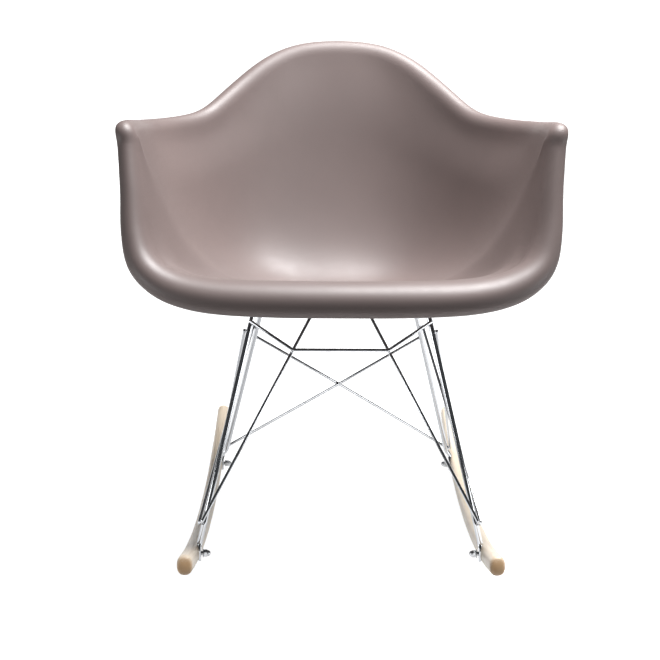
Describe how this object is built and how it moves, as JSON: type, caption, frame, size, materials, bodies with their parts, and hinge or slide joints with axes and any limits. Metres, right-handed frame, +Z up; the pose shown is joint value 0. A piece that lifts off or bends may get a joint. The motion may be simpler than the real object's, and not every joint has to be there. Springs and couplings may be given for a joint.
{
  "type": "rocking armchair",
  "caption": "Rocking armchair: moulded bucket shell with a rolled lip on a welded wire cradle, bolted to two curved wooden rockers.",
  "frame": {"origin": "on the floor, midway between the rockers and midway along them", "axes": "+Z up, -Y the way the chair faces, +X towards the sitter's left"},
  "size_m": [0.6402, 0.7499, 0.7601],
  "materials": {
    "shell": "satin moulded plastic, grey mauve",
    "chrome": "bright plated wire",
    "steel": "zinc plated fasteners and plates",
    "maple": "pale maple under clear satin lacquer",
    "rubber": "dull black",
    "brass": "plain"
  },
  "bodies": {
    "root": {"seat_shell": "shell", "threaded_insert_front_left": "brass", "threaded_insert_front_right": "brass", "threaded_insert_rear_left": "brass", "threaded_insert_rear_right": "brass", "rubber_mount_front_left": "rubber", "rubber_mount_front_right": "rubber", "rubber_mount_rear_left": "rubber", "rubber_mount_rear_right": "rubber", "mount_plate_front_left": "steel", "mount_plate_front_right": "steel", "mount_plate_rear_left": "steel", "mount_plate_rear_right": "steel", "mount_screw_front_left": "steel", "mount_screw_front_right": "steel", "mount_screw_rear_left": "steel", "mount_screw_rear_right": "steel", "rocker_left": "maple", "rocker_right": "maple", "rocker_bolt_front_left": "steel", "rocker_bolt_front_right": "steel", "rocker_bolt_rear_left": "steel", "rocker_bolt_rear_right": "steel", "head_washer_front_left": "steel", "head_washer_front_right": "steel", "head_washer_rear_left": "steel", "head_washer_rear_right": "steel", "nut_washer_front_left": "steel", "nut_washer_front_right": "steel", "nut_washer_rear_left": "steel", "nut_washer_rear_right": "steel", "dome_nut_front_left": "steel", "dome_nut_front_right": "steel", "dome_nut_rear_left": "steel", "dome_nut_rear_right": "steel", "front_hoop": "chrome", "rear_hoop": "chrome", "front_brace_wire": "chrome", "front_cradle_wire_left": "chrome", "front_cradle_wire_right": "chrome", "rear_cradle_wire_left": "chrome", "rear_cradle_wire_right": "chrome"}
  },
  "joints": []
}
